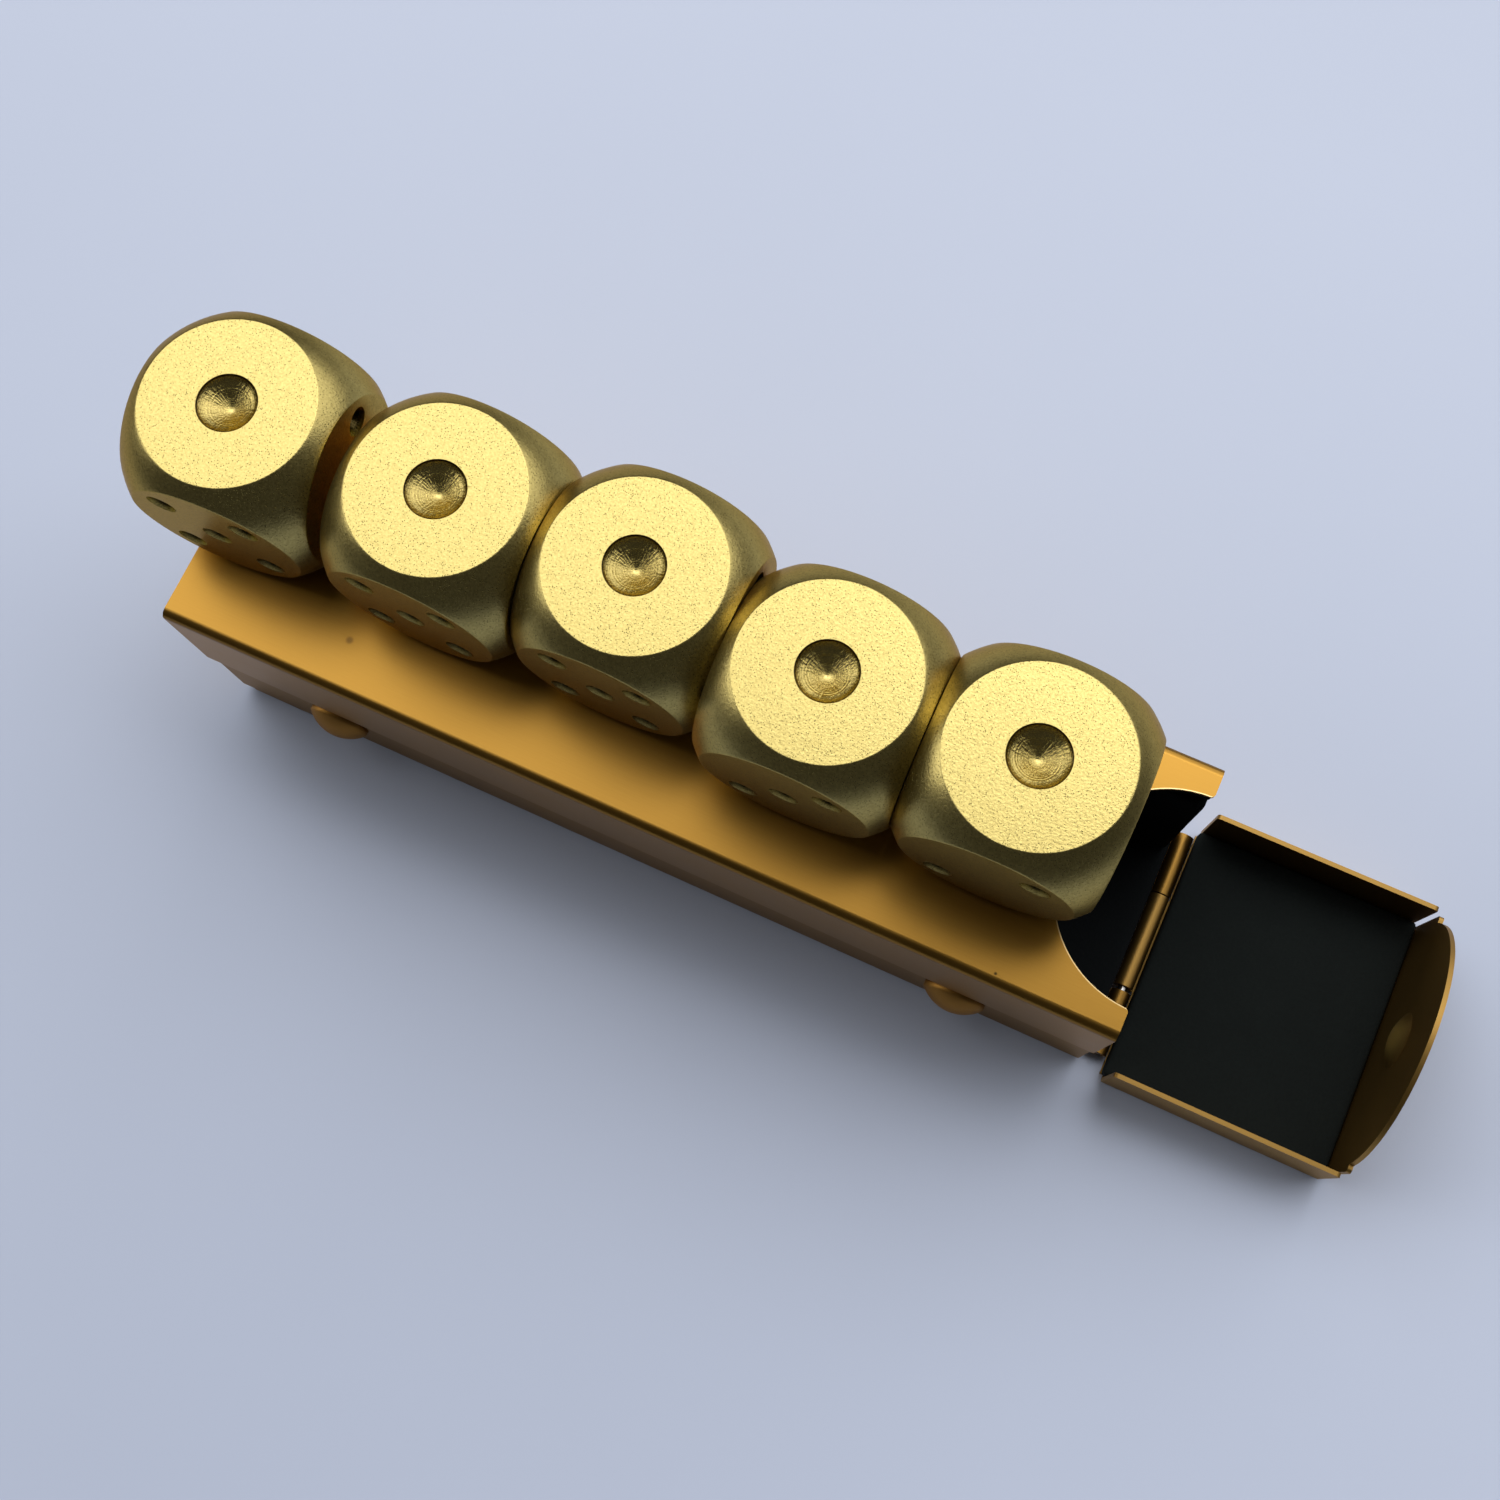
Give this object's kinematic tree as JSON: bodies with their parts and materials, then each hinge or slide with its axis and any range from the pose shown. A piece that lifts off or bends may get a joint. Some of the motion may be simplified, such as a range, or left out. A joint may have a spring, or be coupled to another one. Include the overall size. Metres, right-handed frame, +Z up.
{
  "type": "dice tube",
  "caption": "Riveted folded-sheet dice case, foam lined, with a hinged end lid lying open and a row of metal dice standing on its top wall.",
  "frame": {"origin": "middle of the case's bottom face, on the surface it lies on", "axes": "+X along the case towards the hinged lid, +Y to the case's far side, +Z up"},
  "size_m": [0.1114, 0.026, 0.038],
  "materials": {
    "cover_gold": "gold anodised, satin",
    "tray_gold": "gold anodised, satin",
    "rivet_gold": "gold anodised, formed heads",
    "foam": "matt foam",
    "pad_foam": "matt foam",
    "pin_steel": "bright drawn",
    "lid_gold": "gold anodised, satin",
    "dice_gold": "gold anodised, fine blasted"
  },
  "bodies": {
    "case": {"case_cover": "cover_gold", "case_tray": "tray_gold", "case_rivets": "rivet_gold", "lining_floor": "foam", "lining_near": "foam", "lining_far": "foam", "lining_roof": "foam", "lining_end": "foam", "hinge_pin": "pin_steel"},
    "lid": {"lid_shell": "lid_gold", "lid_pad": "pad_foam"},
    "die_1": {"die_1": "dice_gold"},
    "die_2": {"die_2": "dice_gold"},
    "die_3": {"die_3": "dice_gold"},
    "die_4": {"die_4": "dice_gold"},
    "die_5": {"die_5": "dice_gold"}
  },
  "joints": [
    {"name": "lid_hinge", "type": "hinge", "parent": "case", "child": "lid", "pos_m": [0.04345, 0, 0.00088], "axis": [0, -1, 0], "range_deg": [0, 68]},
    {"name": "die_1_lift", "type": "slide", "parent": "case", "child": "die_1", "axis": [0, 0, 1], "range_m": [0, 0.022]},
    {"name": "die_2_lift", "type": "slide", "parent": "case", "child": "die_2", "axis": [0, 0, 1], "range_m": [0, 0.022]},
    {"name": "die_3_lift", "type": "slide", "parent": "case", "child": "die_3", "axis": [0, 0, 1], "range_m": [0, 0.022]},
    {"name": "die_4_lift", "type": "slide", "parent": "case", "child": "die_4", "axis": [0, 0, 1], "range_m": [0, 0.022]},
    {"name": "die_5_lift", "type": "slide", "parent": "case", "child": "die_5", "axis": [0, 0, 1], "range_m": [0, 0.022]}
  ]
}
